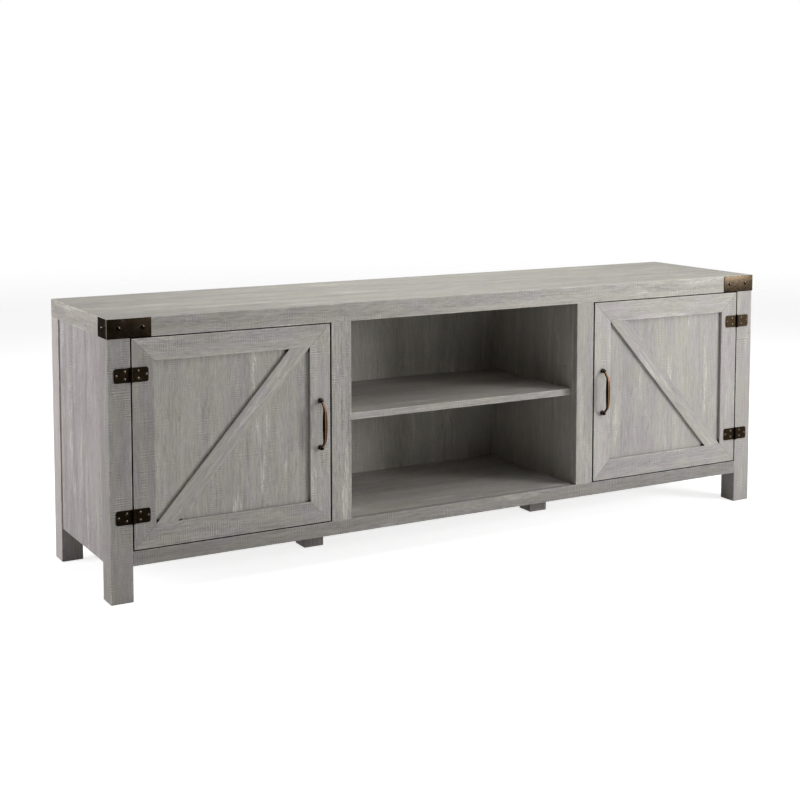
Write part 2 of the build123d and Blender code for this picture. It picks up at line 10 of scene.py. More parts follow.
import bmesh
import bpy
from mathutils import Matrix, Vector


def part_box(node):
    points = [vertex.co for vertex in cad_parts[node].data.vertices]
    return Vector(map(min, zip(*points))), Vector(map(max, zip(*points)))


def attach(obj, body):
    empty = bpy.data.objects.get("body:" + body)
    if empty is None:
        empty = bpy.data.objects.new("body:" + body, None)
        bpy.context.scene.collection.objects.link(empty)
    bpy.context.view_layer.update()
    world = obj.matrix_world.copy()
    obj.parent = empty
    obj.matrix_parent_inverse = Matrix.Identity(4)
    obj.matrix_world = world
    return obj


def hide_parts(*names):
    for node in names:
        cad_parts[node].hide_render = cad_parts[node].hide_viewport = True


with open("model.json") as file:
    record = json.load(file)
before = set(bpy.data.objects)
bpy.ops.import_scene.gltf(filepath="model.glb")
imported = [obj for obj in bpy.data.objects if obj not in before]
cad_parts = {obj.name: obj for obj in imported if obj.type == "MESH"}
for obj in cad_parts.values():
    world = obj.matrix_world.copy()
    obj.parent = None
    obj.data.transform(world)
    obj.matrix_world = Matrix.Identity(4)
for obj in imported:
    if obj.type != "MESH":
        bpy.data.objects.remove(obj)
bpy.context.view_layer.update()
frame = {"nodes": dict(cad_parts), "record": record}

MM = 0.001
SIDES = {"left": -1.0, "right": 1.0}


# ---------------------------------------------------------------- camera, floor and light
def make_camera():
    """Looks down a little, with a lowered lens, so that the cabinet sits in the frame's middle."""
    camera = bpy.data.objects.new("camera", bpy.data.cameras.new("camera"))
    bpy.context.scene.collection.objects.link(camera)
    camera.location = (-1.844, -3.118, 1.029)
    looking_down, turned_right = math.radians(4.79), math.radians(29.45)
    camera.rotation_euler = (math.pi / 2 - looking_down, 0.0, -turned_right)
    camera.data.lens = 66.06
    camera.data.sensor_width = 36.0
    camera.data.shift_y = -0.20
    bpy.context.scene.camera = camera


# Each light's target, azimuth, elevation, distance, size, power and colour. Azimuth 0 is in front
# of the doors, and 90 is to the viewer's right.
RIGHT_OF_BAY = (0.3, -0.19, 0.35)
LIGHTS = {
    "key": (RIGHT_OF_BAY, 46, 12, 3.2, 0.7, 52, (0.985, 0.98, 1.0)),
    "high_key": (RIGHT_OF_BAY, 50, 45, 3.2, 1.6, 36, (1.0, 0.995, 0.99)),
    "front_fill": (RIGHT_OF_BAY, 20, 20, 3.2, 1.6, 11, (1.0, 1.0, 1.0)),
    "high_front": ((-0.3, -0.4, 0.5), 20, 68, 2.6, 1.6, 12, (1.0, 1.0, 1.0)),
    "overhead": ((0.1, 0.4, 0.6), 0, 90, 2.0, 1.2, 37, (1.0, 1.0, 1.0)),
    "side_fill": ((-0.889, 0.1, 0.4), -105, 12, 2.6, 1.6, 56, (1.0, 0.97, 1.0)),
}
WORLD_FILL = 0.03


def make_light(name, target, azimuth, elevation, distance, size, power, colour):
    """A square soft light."""
    data = bpy.data.lights.new(name, "AREA")
    data.size = size
    data.energy = power
    data.color = colour
    light = bpy.data.objects.new(name, data)
    bpy.context.scene.collection.objects.link(light)
    a, e = math.radians(azimuth), math.radians(elevation)
    away = Vector((math.sin(a) * math.cos(e), -math.cos(a) * math.cos(e), math.sin(e)))
    light.location = Vector(target) + away * distance
    light.rotation_euler = away.to_track_quat("Z", "Y").to_euler()


def make_lights():
    """The area lights, and a world that looks white and gives a faint fill."""
    for name, settings in LIGHTS.items():
        make_light(name, *settings)
    world = bpy.data.worlds.new("studio")
    world.use_nodes = True
    graph = Graph(world.node_tree)
    graph.clear()
    white = graph.add("Background", {"Color": (1, 1, 1, 1), "Strength": 1.0})
    fill = graph.add("Background", {"Color": (1.0, 0.99, 0.98, 1), "Strength": WORLD_FILL})
    seen = graph.add("LightPath").outputs["Is Camera Ray"]
    mixed = graph.add("MixShader", {0: seen, 1: fill.outputs[0], 2: white.outputs[0]})
    graph.add("OutputWorld", {"Surface": mixed.outputs[0]})
    bpy.context.scene.world = world
    bpy.context.scene.view_settings.view_transform = "Standard"


def make_floor():
    """A pale disc that fades into the white round it, lifted to near white where it is seen.

    Glossy rays see it dark, as a black flag would make it, so that the bronze stays dark.
    """
    radius, fade = 7.0, 3.0
    mesh = bmesh.new()
    bmesh.ops.create_circle(mesh, cap_ends=True, segments=96, radius=radius)
    floor = finish_mesh(mesh, "floor")
    material, graph = new_material("pale_floor")
    place = graph.add("TexCoord").outputs["Object"]
    out = graph.vector("LENGTH", place)
    clear = graph.ramp(out, fade, radius)
    plain = graph.add("BsdfDiffuse", {"Color": (0.76, 0.76, 0.76, 1)})
    lift = graph.add("Emission", {"Color": (1, 1, 1, 1), "Strength": 0.78})
    lifted = graph.add("AddShader", {0: plain.outputs[0], 1: lift.outputs[0]})
    ray = graph.add("LightPath").outputs
    flag = graph.add("BsdfDiffuse", {"Color": (0.06, 0.055, 0.05, 1)})
    flagged = graph.add(
        "MixShader", {0: ray["Is Glossy Ray"], 1: plain.outputs[0], 2: flag.outputs[0]})
    lit = graph.add(
        "MixShader", {0: ray["Is Camera Ray"], 1: flagged.outputs[0], 2: lifted.outputs[0]})
    hole = graph.add("BsdfTransparent")
    mixed = graph.add("MixShader", {0: clear, 1: lit.outputs[0], 2: hole.outputs[0]})
    graph.add("OutputMaterial", {"Surface": mixed.outputs[0]})
    floor.data.materials.append(material)


# ---------------------------------------------------------------- node and mesh helpers
class Graph:
    """A node tree, with short calls that each add one node."""

    def __init__(self, tree):
        self.tree = tree

    def clear(self):
        self.tree.nodes.clear()

    def feed(self, socket, value):
        if isinstance(value, bpy.types.NodeSocket):
            self.tree.links.new(value, socket)
        else:
            socket.default_value = value

    def add(self, kind, inputs=None, **settings):
        node = self.tree.nodes.new("ShaderNode" + kind)
        for name, value in settings.items():
            setattr(node, name, value)
        for socket, value in (inputs or {}).items():
            self.feed(node.inputs[socket], value)
        return node

    def math(self, operation, *values):
        node = self.add("Math", dict(enumerate(values)), operation=operation)
        return node.outputs[0]

    def vector(self, operation, *values):
        node = self.add("VectorMath", dict(enumerate(values)), operation=operation)
        return node.outputs["Value" if operation in ("LENGTH", "DOT_PRODUCT") else "Vector"]

    def ramp(self, value, low, high, start=0.0, end=1.0):
        """Goes smoothly from start to end as the value goes from low to high."""
        node = self.add("MapRange", interpolation_type="SMOOTHSTEP")
        for socket, given in zip(node.inputs, (value, low, high, start, end)):
            self.feed(socket, given)
        return node.outputs[0]

    def noise(self, vector, detail=2.0, roughness=0.5, distortion=0.0):
        node = self.add("TexNoise", {
            "Vector": vector, "Scale": 1.0, "Detail": detail, "Roughness": roughness,
            "Distortion": distortion,
        })
        return node.outputs["Fac"]

    def streaks(self, vector, length, width, detail=2.0, roughness=0.5, distortion=0.0):
        """Noise whose features have about that length along X and that width across it."""
        scaled = self.vector("MULTIPLY", vector, (1 / length, 1 / width, 1 / width))
        return self.noise(scaled, detail, roughness, distortion)

    def weigh(self, start, *terms):
        """start plus each (value, middle, weight) as weight * (value - middle)."""
        total = start
        for value, middle, weight in terms:
            shifted = self.math("SUBTRACT", value, middle)
            total = self.math("MULTIPLY_ADD", shifted, weight, total)
        return total

    def off(self, value, middle):
        """How far a value is from its middle level, either way."""
        return self.math("ABSOLUTE", self.math("SUBTRACT", value, middle))

    def veins(self, noise, near, far):
        """1 where a noise is within near of its middle level, and 0 where it is past far."""
        return self.ramp(self.off(noise, 0.5), near, far, 1.0, 0.0)

    def grey(self, value):
        """A colour of that value in all three channels."""
        return self.add("CombineColor", {0: value, 1: value, 2: value}).outputs[0]

    def mix(self, factor, a, b, mode="MIX"):
        node = self.add("Mix", data_type="RGBA", blend_type=mode)
        for index, value in ((0, factor), (6, a), (7, b)):
            self.feed(node.inputs[index], value)
        return node.outputs[2]

    def mix_vector(self, factor, a, b):
        node = self.add("Mix", data_type="VECTOR")
        for index, value in ((0, factor), (4, a), (5, b)):
            self.feed(node.inputs[index], value)
        return node.outputs[1]


def new_material(name):
    material = bpy.data.materials.new(name)
    material.use_nodes = True
    graph = Graph(material.node_tree)
    graph.clear()
    return material, graph


def new_group(name, inputs, outputs):
    """A node group's tree, its input sockets by name, and its output node."""
    tree = bpy.data.node_groups.new(name, "ShaderNodeTree")
    for way, sockets in (("INPUT", inputs), ("OUTPUT", outputs)):
        for socket, kind in sockets.items():
            tree.interface.new_socket(name=socket, in_out=way, socket_type="NodeSocket" + kind)
    graph = Graph(tree)
    given = tree.nodes.new("NodeGroupInput").outputs
    return graph, given, tree.nodes.new("NodeGroupOutput")


def sweep_rings(mesh, rings):
    """Joins rings of points, each the same number, into one skin with closed ends."""
    rows = [[mesh.verts.new(point) for point in ring] for ring in rings]
    for low, high in zip(rows, rows[1:]):
        for i in range(len(low)):
            mesh.faces.new((low[i - 1], low[i], high[i], high[i - 1]))
    mesh.faces.new(list(reversed(rows[0])))
    mesh.faces.new(rows[-1])


def turn_profile(mesh, profile, base, axis, steps=32):
    """Turns (radius, height) points about an axis that starts at a base point."""
    axis = Vector(axis).normalized()
    across = axis.orthogonal().normalized()
    other = axis.cross(across)
    rings = []
    for radius, height in profile:
        angles = (2 * math.pi * i / steps for i in range(steps))
        centre = Vector(base) + axis * height
        rings.append([
            centre + (across * math.cos(a) + other * math.sin(a)) * radius for a in angles])
    sweep_rings(mesh, rings)


def smooth_line(points, steps):
    """A Catmull-Rom line through points, as steps pieces between each two."""
    ends = [2 * points[0] - points[1], *points, 2 * points[-1] - points[-2]]
    line = []
    for a, b, c, d in zip(ends, ends[1:], ends[2:], ends[3:]):
        for i in range(steps):
            t = i / steps
            line.append(0.5 * (2 * b + (c - a) * t + (2 * a - 5 * b + 4 * c - d) * t ** 2
                               + (3 * b - a - 3 * c + d) * t ** 3))
    return line + [points[-1]]


def finish_mesh(mesh, name, smooth=False):
    """Turns a bmesh into an object in the scene."""
    mesh.normal_update()
    data = bpy.data.meshes.new(name)
    mesh.to_mesh(data)
    mesh.free()
    data.shade_smooth() if smooth else data.shade_flat()
    piece = bpy.data.objects.new(name, data)
    bpy.context.scene.collection.objects.link(piece)
    return piece


# ---------------------------------------------------------------- wood
SAW_PITCH = 4.8 * MM
# The whole range that the grain may wander sideways. It mostly keeps to the middle third of it.
MEANDER = 24 * MM
COOL_TINT, WARM_TINT = (1.0, 0.938, 0.918, 1), (1.0, 0.966, 0.862, 1)
LEAST_VALUE = 0.25


def make_wood_group():
    """Grey-washed wood print. Its grain runs along the X of the space that it is given."""
    graph, given, made = new_group(
        "grey_wash",
        {"Space": "Vector", "Facing": "Vector", "Edge": "Float", "Tone": "Float",
         "Warmth": "Float", "Saw": "Float", "Figure": "Float", "Contrast": "Float"},
        {"Color": "Color", "Roughness": "Float", "Height": "Float"},
    )
    parts = graph.add("SeparateXYZ", {0: given["Space"]}).outputs
    turned = graph.add("CombineXYZ", {0: parts[1], 1: parts[0], 2: parts[2]}).outputs[0]
    end_face = graph.math("ABSOLUTE", graph.add("SeparateXYZ", {0: given["Facing"]}).outputs[0])
    is_end = graph.math("GREATER_THAN", end_face, 0.7)
    straight = graph.mix_vector(is_end, given["Space"], turned)

    # The grain meanders a few millimetres from side to side.
    drift = graph.streaks(straight, 0.20, 0.045, 2.0, 0.5)
    drift = graph.math("MULTIPLY", graph.math("SUBTRACT", drift, 0.5), MEANDER)
    drift = graph.add("CombineXYZ", {0: 0.0, 1: drift, 2: drift}).outputs[0]
    space = graph.vector("ADD", straight, drift)

    bands = graph.streaks(space, 0.70, 0.032, 2.0)
    streaks = graph.streaks(space, 0.060, 0.0042, 3.0, 0.6)
    hairs = graph.streaks(space, 0.022, 0.0024, 2.0, 0.6)
    fibres = graph.streaks(space, 0.020, 0.0009, 1.0)
    lines = graph.streaks(space, 0.26, 0.0030, 2.0, 0.5)
    speckle = graph.noise(graph.vector("MULTIPLY", straight, (300.0, 300.0, 300.0)), 1.0)
    blotches = graph.streaks(space, 0.10, 0.045, 3.0, 0.55)
    hues = graph.streaks(space, 0.085, 0.024, 2.0, 0.6)

    # Pale figure: narrow stretches along the grain, filled with bright forked hairlines.
    area = graph.streaks(straight, 0.26, 0.030, 2.0, 0.5)
    stretch = graph.ramp(area, 0.59, 0.66)
    forks = graph.streaks(space, 0.070, 0.0042, 3.0, 0.6, 0.5)
    wash = graph.weigh(0.14, (graph.veins(forks, 0.010, 0.050), 0.0, 0.95))
    wash = graph.math("MULTIPLY", graph.math("MULTIPLY", wash, stretch), given["Figure"])

    # Dark grain lines, thin and broken.
    grain = graph.streaks(space, 0.19, 0.011, 3.0, 0.5)
    grain = graph.veins(grain, 0.0, 0.030)
    grain = graph.math("MULTIPLY", grain, graph.ramp(blotches, 0.42, 0.60))

    # Short strokes across the grain, as a band saw leaves them, in patches and beside the figure.
    along = graph.add("SeparateXYZ", {0: straight}).outputs[0]
    slow = graph.add("CombineXYZ", {0: graph.math("MULTIPLY", along, 22.0), 1: given["Tone"]})
    slow = graph.noise(slow.outputs[0], 2.0)
    beat = graph.weigh(graph.math("MULTIPLY", along, 1 / SAW_PITCH), (slow, 0.5, 4.5))
    saw = graph.math("SINE", graph.math("MULTIPLY", beat, 2 * math.pi))
    dashes = graph.ramp(graph.streaks(straight, 0.0052, 0.016, 2.0, 0.6), 0.40, 0.66)
    patches = graph.ramp(graph.streaks(straight, 0.075, 0.026, 3.0, 0.6), 0.53, 0.64)
    aside = graph.vector("ADD", straight, (0.0, 0.015, 0.015))
    beside = graph.ramp(graph.streaks(aside, 0.26, 0.030, 2.0, 0.5), 0.57, 0.64)
    patches = graph.math("MULTIPLY", graph.math("MAXIMUM", patches, beside), dashes)
    saw_mask = graph.math("MULTIPLY", graph.weigh(0.10, (patches, 0.0, 0.90)), given["Saw"])
    saw = graph.math("MULTIPLY", saw, saw_mask)

    pattern = graph.weigh(
        0.0, (bands, 0.5, 0.38), (streaks, 0.5, 0.42), (hairs, 0.5, 0.46), (fibres, 0.5, 0.22),
        (lines, 0.5, 0.34), (speckle, 0.5, 0.18), (blotches, 0.5, 0.22), (grain, 0.15, -0.10),
        (wash, 0.06, 0.32), (saw, 0.0, 0.17),
    )
    pattern = graph.math("MULTIPLY", pattern, given["Contrast"])
    # The edge band lightens the colour along each board's edges: partly wear, partly a painted
    # highlight of the arrises catching the light.
    value = graph.weigh(1.0, (pattern, 0.0, 1.0), (given["Edge"], 0.0, 0.26))
    value = graph.math("MAXIMUM", value, LEAST_VALUE)
    value = graph.math("MULTIPLY", value, given["Tone"])
    hue = graph.weigh(given["Warmth"], (hues, 0.5, 3.4), (bands, 0.5, 1.6), (wash, 0.1, 0.15))
    hue = graph.ramp(hue, 0.0, 1.0)
    tint = graph.mix(hue, COOL_TINT, WARM_TINT)
    colour = graph.mix(1.0, graph.grey(value), tint, "MULTIPLY")
    rough = graph.weigh(0.66, (hairs, 0.5, 0.20), (streaks, 0.5, 0.25), (wash, 0.0, 0.08))
    height = graph.weigh(
        0.5, (hairs, 0.5, 0.6), (streaks, 0.5, 0.6), (saw, 0.0, 0.30), (grain, 0.0, -0.3))
    for socket, result in (("Color", colour), ("Roughness", rough), ("Height", height)):
        graph.feed(made.inputs[socket], result)
    return graph.tree


LEAST_EDGE_BAND, EDGE_BAND_SPREAD = 0.5 * MM, 2.6 * MM


def make_edge_group():
    """How worn a board is at a point, and how much painted highlight its arrises get: 1 along the
    edges of its box, and 0 inside its faces.
    """
    graph, given, made = new_group(
        "edge_wear_and_highlight", {"Place": "Vector", "Low": "Vector", "High": "Vector"}, {"WearAndHighlight": "Float"}
    )
    inside = graph.vector(
        "MINIMUM", graph.vector("SUBTRACT", given["Place"], given["Low"]),
        graph.vector("SUBTRACT", given["High"], given["Place"]),
    )
    x, y, z = graph.add("SeparateXYZ", {0: inside}).outputs
    nearest = graph.math("MAXIMUM", x, y)
    for a, b in ((y, z), (x, z)):
        nearest = graph.math("MINIMUM", nearest, graph.math("MAXIMUM", a, b))
    patchy = graph.noise(graph.vector("MULTIPLY", given["Place"], (45.0, 45.0, 45.0)), 3.0, 0.6)
    reach = graph.math("MULTIPLY", graph.ramp(patchy, 0.35, 0.70), EDGE_BAND_SPREAD)
    reach = graph.math("ADD", reach, LEAST_EDGE_BAND)
    graph.feed(made.inputs[0], graph.ramp(graph.math("DIVIDE", nearest, reach), 0.4, 1.2, 1.0, 0.0))
    return graph.tree


ALONG_X, ALONG_Z = 0.0, math.pi / 2
# The boards beside the gaps round the doors, by the start of their names, which get painted shade in
# those gaps, and how far a gap is felt.
GAP_SHADE_BOARDS = (
    "top_board", "bottom_front_rail", "front_post", "divider_stile", "left_door", "right_door",
)
GAP_SHADE_REACH = 10 * MM


def make_wood(node, slope, seed, tone=0.40, warmth=0.6, saw=1.0, figure=1.0, contrast=1.0,
              paint_gap_shade=False):
    """A board's own material. Its grain runs in the XZ plane, at a slope from the X axis."""
    material, graph = new_material(node + "_wood")
    source = graph.add("TexCoord").outputs
    shift = (seed * 3.17 % 7.0, seed * 1.93 % 5.0, seed * 2.41 % 6.0)
    turn = (0.0, slope, 0.0)
    space = graph.add("Mapping", {"Vector": source["Object"], "Location": shift, "Rotation": turn})
    facing = graph.add("Mapping", {"Vector": source["Normal"], "Rotation": turn})
    low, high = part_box(node)
    edge = graph.add("Group", node_tree=bpy.data.node_groups["edge_wear_and_highlight"])
    for socket, value in zip(edge.inputs, (source["Object"], low, high)):
        graph.feed(socket, value)
    edge_band = edge.outputs[0]
    # Inside the gaps the lighter edge band is held back too, so that the painted gap shade stays
    # unbroken.
    if paint_gap_shade:
        open_sky = graph.add("AmbientOcclusion", {"Distance": GAP_SHADE_REACH}, samples=14).outputs["AO"]
        edge_band = graph.math("MULTIPLY", edge_band, graph.ramp(open_sky, 0.60, 0.92))
    wood = graph.add("Group", node_tree=bpy.data.node_groups["grey_wash"])
    values = (space.outputs[0], facing.outputs[0], edge_band, tone, warmth, saw, figure, contrast)
    for socket, value in zip(wood.inputs, values):
        graph.feed(socket, value)
    bump = graph.add(
        "Bump", {"Height": wood.outputs["Height"], "Strength": 0.35, "Distance": 0.25 * MM})
    colour = wood.outputs["Color"]
    if paint_gap_shade:
        # Painted shade: the faces inside the narrow gaps round a door go near black by the ambient
        # occlusion, and tight creases a little darker.
        gap_shade = graph.ramp(open_sky, 0.36, 0.54, 0.01, 1.0)
        colour = graph.mix(1.0, colour, graph.grey(gap_shade), "MULTIPLY")
    surface = graph.add("BsdfPrincipled", {
        "Base Color": colour, "Roughness": wood.outputs["Roughness"],
        "Normal": bump.outputs[0], "Specular IOR Level": 0.30,
    })
    graph.add("OutputMaterial", {"Surface": surface.outputs[0]})
    return material


def brace_slope(side):
    """The slope of a door's brace, from its box and the width of the frame it lies in."""
    low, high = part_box(f"{side}_door_brace")
    stile_low, stile_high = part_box(f"{side}_door_latch_stile")
    run = (high.x - low.x) - (stile_high.x - stile_low.x)
    return math.atan2(high.z - low.z, -SIDES[side] * run)


def dress(node, material):
    """Gives a CAD node's every slot one material."""
    data = frame["nodes"][node].data
    if not data.materials:
        data.materials.append(material)
    for index in range(len(data.materials)):
        data.materials[index] = material


def dress_wood():
    """Gives every board its own wood. A board's seed is its place in the table, unless it has one."""
    boards = {
        "top_board": dict(slope=ALONG_X, warmth=0.8, tone=0.395, contrast=1.3, saw=1.4),
        "bottom_board": dict(slope=ALONG_X, tone=0.37, contrast=1.2),
        # Painted shade: the bottom front rail is a darker tone, for the light falling off towards the
        # floor.
        "bottom_front_rail": dict(slope=ALONG_X, tone=0.28, contrast=1.2, saw=1.3),
        "back_top_rail": dict(slope=ALONG_X),
        "centre_shelf": dict(slope=ALONG_X, contrast=1.2, tone=0.37),
        # Painted light: the centre back panel is a lighter tone than the side ones, to even out the
        # light in the bay.
        "back_panel_centre": dict(slope=ALONG_Z, tone=0.42, warmth=1.2, contrast=1.1),
    }
    for side in SIDES:
        # The right half is drawn a little calmer, paler and less warm than the left half.
        calm, cool, pale = (0.8, 0.15, 1.07) if side == "right" else (1.0, 0.0, 1.0)
        boards |= {
            f"front_post_{side}": dict(
                slope=ALONG_Z, tone=0.345 * pale, warmth=0.5, saw=2.6, contrast=0.9 * calm),
            # Painted light: the rear posts are a lighter tone, for light that the lamps don't bring
            # under the cabinet.
            f"rear_post_{side}": dict(slope=ALONG_Z, warmth=0.3, tone=0.50),
            f"side_panel_{side}": dict(
                slope=ALONG_Z, seed=38, tone=0.39, warmth=0.15, saw=1.25, contrast=1.6),
            # Painted light: the dividers are a lighter tone, to brighten the bay's walls.
            f"divider_{side}": dict(slope=ALONG_Z, warmth=1.0, tone=0.42),
            f"divider_stile_{side}": dict(slope=ALONG_Z, tone=0.385, contrast=1.8 * calm ** 3),
            # Painted light: the middle feet are a lighter tone, for light that the lamps don't bring
            # under the cabinet.
            f"middle_foot_{side}": dict(slope=ALONG_Z, tone=0.50),
            f"cabinet_shelf_{side}": dict(slope=ALONG_X),
            f"back_panel_{side}": dict(slope=ALONG_Z, tone=0.36, warmth=0.9),
            f"{side}_door_hinge_stile": dict(
                slope=ALONG_Z, tone=0.33 * pale ** 2, warmth=0.35 - cool, saw=1.9),
            f"{side}_door_latch_stile": dict(
                slope=ALONG_Z, tone=0.42 * pale, warmth=0.5 - cool, saw=1.6, contrast=1.2 * calm),
            f"{side}_door_top_rail": dict(
                slope=ALONG_X, tone=0.415, warmth=0.6 - cool, contrast=1.3 * calm),
            f"{side}_door_bottom_rail": dict(
                slope=ALONG_X, tone=0.36 * pale, warmth=0.6 - cool, saw=1.7, contrast=1.2 * calm),
            f"{side}_door_panel": dict(
                slope=ALONG_Z, warmth=0.7 - 1.6 * cool, figure=1.6, contrast=1.2 * calm),
            f"{side}_door_brace": dict(
                slope=brace_slope(side), tone=0.405, warmth=0.6 - cool, saw=0.6, contrast=1.1),
        }
    for place, (node, look) in enumerate(boards.items(), start=1):
        look = {"seed": place, "paint_gap_shade": node.startswith(GAP_SHADE_BOARDS)} | look
        dress(node, make_wood(node, **look))


# ---------------------------------------------------------------- metal and plastic
BRONZE_DARK, BRONZE_BRIGHT = (0.055, 0.038, 0.021), (0.18, 0.12, 0.07)
SHEET_DARK, SHEET_BRIGHT = (0.088, 0.064, 0.040), (0.42, 0.34, 0.26)
COPPER_DARK, COPPER_BRIGHT = (0.050, 0.028, 0.014), (0.36, 0.18, 0.080)
BLACK_DARK, BLACK_BRIGHT = (0.075, 0.068, 0.066), (0.16, 0.14, 0.13)
CLOUDS, SPECKS = (70.0, 70.0, 70.0), (600.0, 600.0, 600.0)


def make_bronze(name, dark, bright, rubbed_from=0.62, roughness=0.40, edge_shade=0.0, ridge=None):
    """Dark antique bronze, worn to copper in patches above a level, and along a ridge, which on a
    bracket's bend is also a painted highlight.

    The edge shade is the width of a darker band of painted shade beside every edge, for the dark
    outline and contact shadow round a plate. The ridge is (x, y, half width), with no y where it
    runs all over that x.
    """
    material, graph = new_material(name)
    place = graph.add("TexCoord").outputs["Object"]
    cloud = graph.noise(graph.vector("MULTIPLY", place, CLOUDS), 4.0, 0.6)
    speck = graph.noise(graph.vector("MULTIPLY", place, SPECKS), 3.0, 0.6)
    rubbed_and_lit = graph.ramp(graph.weigh(cloud, (speck, 0.5, 0.4)), rubbed_from, rubbed_from + 0.2)
    # Along the ridge the bronze is paler and less metallic: copper wear on a pull's grip, and on a
    # bracket's bend also a painted highlight of the bend catching the light.
    if ridge:
        x, y, half = ridge
        parts = graph.add("SeparateXYZ", {0: place}).outputs
        off = graph.off(parts[0], x)
        if y is not None:
            off = graph.math("MAXIMUM", off, graph.off(parts[1], y))
        crest = graph.ramp(graph.weigh(off, (speck, 0.5, 0.003)), 0.5 * half, 1.3 * half, 1.0, 0.0)
        rubbed_and_lit = graph.math("MAXIMUM", rubbed_and_lit, crest)
    colour = graph.mix(rubbed_and_lit, (*dark, 1), (*bright, 1))
    # Painted shade: a darker band along every edge, where the Bevel node's rounded normal turns away
    # from the flat one.
    if edge_shade:
        rounded = graph.add("Bevel", {"Radius": edge_shade}, samples=6).outputs[0]
        flat = graph.add("NewGeometry").outputs["Normal"]
        edge_shade_band = graph.ramp(graph.vector("DOT_PRODUCT", rounded, flat), 0.90, 0.998, 0.15, 1.0)
        if ridge:
            edge_shade_band = graph.math("MAXIMUM", edge_shade_band, crest)
        colour = graph.mix(1.0, colour, graph.grey(edge_shade_band), "MULTIPLY")
    rough = graph.weigh(roughness, (speck, 0.5, 0.35), (cloud, 0.5, 0.3))
    height = graph.weigh(cloud, (speck, 0.5, 0.5))
    bump = graph.add("Bump", {"Height": height, "Strength": 0.45, "Distance": 0.3 * MM})
    metal = graph.weigh(1.0, (crest, 0.0, -0.6)) if ridge else 1.0
    surface = graph.add("BsdfPrincipled", {
        "Base Color": colour, "Roughness": rough, "Metallic": metal, "Normal": bump.outputs[0],
    })
    graph.add("OutputMaterial", {"Surface": surface.outputs[0]})
    return material


def make_plain(name, dark, light, roughness, metallic=0.0, grain=(300.0, 300.0, 300.0)):
    """A two-tone mottled finish for the small parts."""
    material, graph = new_material(name)
    place = graph.add("TexCoord").outputs["Object"]
    mottle = graph.noise(graph.vector("MULTIPLY", place, grain), 4.0, 0.6)
    rough = graph.weigh(roughness, (mottle, 0.5, 0.3))
    bump = graph.add("Bump", {"Height": mottle, "Strength": 0.4, "Distance": 0.05 * MM})
    surface = graph.add("BsdfPrincipled", {
        "Base Color": graph.mix(graph.ramp(mottle, 0.3, 0.7), (*dark, 1), (*light, 1)),
        "Roughness": rough, "Metallic": metallic, "Normal": bump.outputs[0],
    })
    graph.add("OutputMaterial", {"Surface": surface.outputs[0]})
    return material


def dress_fittings():
    """Gives the metal, wooden and plastic fittings their finishes, by the record's slots."""
    finishes = {
        # The antique bronze fittings, such as the hinges, get a 2 mm band of painted shade along
        # their edges.
        "antique_bronze": make_bronze("bronze", BRONZE_DARK, BRONZE_BRIGHT, edge_shade=2.0 * MM),
        "zinc_steel": make_plain("zinc", (0.42, 0.42, 0.43), (0.62, 0.62, 0.62), 0.35, 1.0),
        "beech": make_plain("beech_dowel", (0.50, 0.34, 0.19), (0.66, 0.48, 0.29), 0.6,
                            grain=(500.0, 500.0, 40.0)),
        "catch_plastic": make_plain("catch_plastic", (0.70, 0.69, 0.66), (0.78, 0.77, 0.75), 0.45),
        "magnet": make_plain("magnet", (0.10, 0.10, 0.11), (0.22, 0.22, 0.23), 0.5, 0.6),
        "glide_nylon": make_plain("glide_nylon", (0.09, 0.085, 0.08), (0.14, 0.135, 0.13), 0.5),
    }
    for part in frame["record"]["subparts"]:
        if part["material_slot"] in finishes:
            dress(part["node"], finishes[part["material_slot"]])
    dress("bracket_nails", make_bronze("black_bronze", BLACK_DARK, BLACK_BRIGHT, 0.66, 0.15))
    screws = make_plain("worn_screw", (0.12, 0.10, 0.085), (0.24, 0.21, 0.18), 0.36, 0.8)
    for node in ("cabinet_wood_screws", "left_door_wood_screws", "right_door_wood_screws"):
        dress(node, screws)


# ---------------------------------------------------------------- pulls and corner brackets
PULL_FOOT = 6.5 * MM
# Half of a pull's middle line, in mm: out from the door, and in from the foot's axis.
PULL_BOW = (
    (2.0, 0.0), (7.0, 0.3), (11.0, 3.0), (16.0, 8.5), (20.5, 13.5), (22.6, 18.5), (23.2, 30.0),
)
# The grip: the share of the way from its foot to its middle, and half its width there, in mm.
PULL_SKIN = ((0.0, 3.0), (0.20, 3.0), (0.30, 3.9), (0.5, 5.0), (0.8, 5.8), (1.0, 6.0))
PULL_FLATNESS = 2.6 * MM
GRIP_SIDES = 24
PULL_CROWN = 0.35 * MM
# The beaded foot, in mm: its radius, and the height above the door.
FOOT_PROFILE = (
    (5.8, 0.0), (6.2, 0.4), (6.2, 1.3), (5.7, 2.1), (4.6, 2.6), (4.1, 3.3), (4.5, 4.4), (5.2, 5.8),
    (5.5, 7.4), (5.2, 9.0), (4.3, 10.6), (3.0, 11.6), (1.3, 12.1),
)


def between(table, x):
    """Looks x up in a table of (x, y) points, smoothly from one to the next."""
    for (x0, y0), (x1, y1) in zip(table, table[1:]):
        if x <= x1:
            t = (x - x0) / (x1 - x0)
            return y0 + (y1 - y0) * t * t * (3 - 2 * t)
    return table[-1][1]


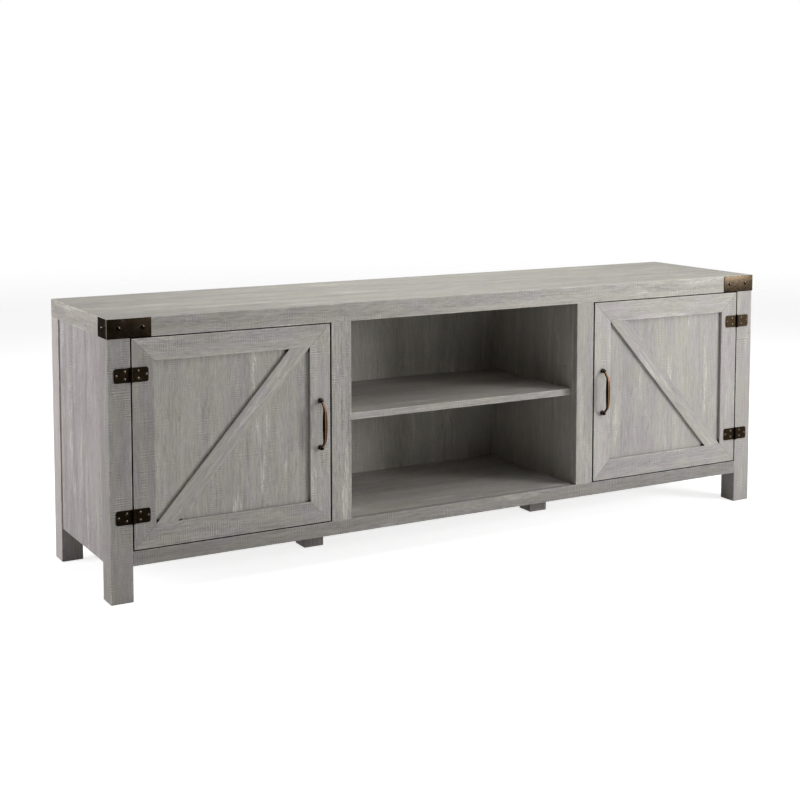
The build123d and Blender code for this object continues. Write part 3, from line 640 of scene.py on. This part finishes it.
def make_pull(side):
    """A cast bow pull with a flattened, swelling grip and a beaded foot at each end."""
    node = f"{side}_door_pull"
    low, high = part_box(node)
    middle = Vector(((low.x + high.x) / 2, high.y, (low.z + high.z) / 2))
    half = (high.z - low.z) / 2 - PULL_FOOT
    arm = [Vector((0.0, -out * MM, half - inward * MM)) for out, inward in PULL_BOW]
    crown = Vector((0.0, arm[-1].y - PULL_CROWN, 0.0))
    line = smooth_line([*arm, crown, *(Vector((0.0, p.y, -p.z)) for p in reversed(arm))], 8)
    mesh = bmesh.new()
    rings = []
    for i, point in enumerate(line):
        ahead = line[min(i + 1, len(line) - 1)] - line[max(i - 1, 0)]
        thick_way = Vector((1.0, 0.0, 0.0)).cross(ahead.normalized())
        share = 1 - abs(point.z) / half
        width = between(PULL_SKIN, share) * MM
        thick = math.sqrt(width * PULL_FLATNESS)
        ring = []
        for step in range(GRIP_SIDES):
            a = 2 * math.pi * step / GRIP_SIDES
            across = Vector((math.cos(a) * width, 0, 0))
            ring.append(middle + point + across + thick_way * math.sin(a) * thick)
        rings.append(ring)
    sweep_rings(mesh, rings)
    grip_faces = set(mesh.faces)
    for way in (1, -1):
        profile = [(radius * MM, height * MM) for radius, height in FOOT_PROFILE]
        turn_profile(mesh, profile, middle + Vector((0, 0, way * half)), (0, -1, 0))
    for face in mesh.faces:
        face.material_index = 0 if face in grip_faces else 1
    pull = finish_mesh(mesh, f"{side}_bow_pull", smooth=True)
    pull.data.materials.append(make_bronze(
        f"{side}_pull_copper", COPPER_DARK, COPPER_BRIGHT, rubbed_from=0.56, roughness=0.34,
        ridge=(middle.x, None, 1.8 * MM)))
    pull.data.materials.append(bpy.data.materials["black_bronze"])
    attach(pull, f"{side}_door")
    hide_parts(node)


BRACKET_EASING = 0.5 * MM


def make_bracket(side):
    """A bent sheet bracket with softened edges, which reaches the top board's underside."""
    node = f"corner_bracket_{side}"
    low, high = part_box(node)
    top_low, top_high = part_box("top_board")
    way = SIDES[side]
    outer = high.x if way > 0 else low.x
    inner = top_high.x if way > 0 else top_low.x
    tip = low.x if way > 0 else high.x
    front, face, rear = low.y, top_low.y, high.y
    plan = ((tip, front), (outer, front), (outer, rear), (inner, rear), (inner, face), (tip, face))
    mesh = bmesh.new()
    levels = (min(low.z, top_low.z), high.z)
    corners = [[mesh.verts.new((x, y, z)) for x, y in plan] for z in levels]
    mesh.faces.new(corners[0] if way < 0 else list(reversed(corners[0])))
    mesh.faces.new(corners[1] if way > 0 else list(reversed(corners[1])))
    for i in range(len(plan)):
        mesh.faces.new((corners[0][i - 1], corners[0][i], corners[1][i], corners[1][i - 1]))
    bmesh.ops.recalc_face_normals(mesh, faces=mesh.faces)
    bmesh.ops.bevel(mesh, geom=mesh.edges[:], offset=BRACKET_EASING, segments=3, profile=0.6,
                    affect="EDGES", clamp_overlap=True)
    bracket = finish_mesh(mesh, f"{side}_corner_bracket_sheet", smooth=True)
    # On the bracket, the ridge along the bend is a painted highlight as well as wear, and its edges
    # get a band of painted shade.
    bracket.data.materials.append(make_bronze(
        f"{side}_bracket_bronze", SHEET_DARK, SHEET_BRIGHT, rubbed_from=0.64, roughness=0.32,
        edge_shade=3.2 * MM, ridge=(outer, front, 1.3 * MM)))
    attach(bracket, "cabinet")
    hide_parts(node)


make_camera()
make_wood_group()
make_edge_group()
make_lights()
make_floor()
dress_wood()
dress_fittings()
for side in SIDES:
    make_pull(side)
    make_bracket(side)
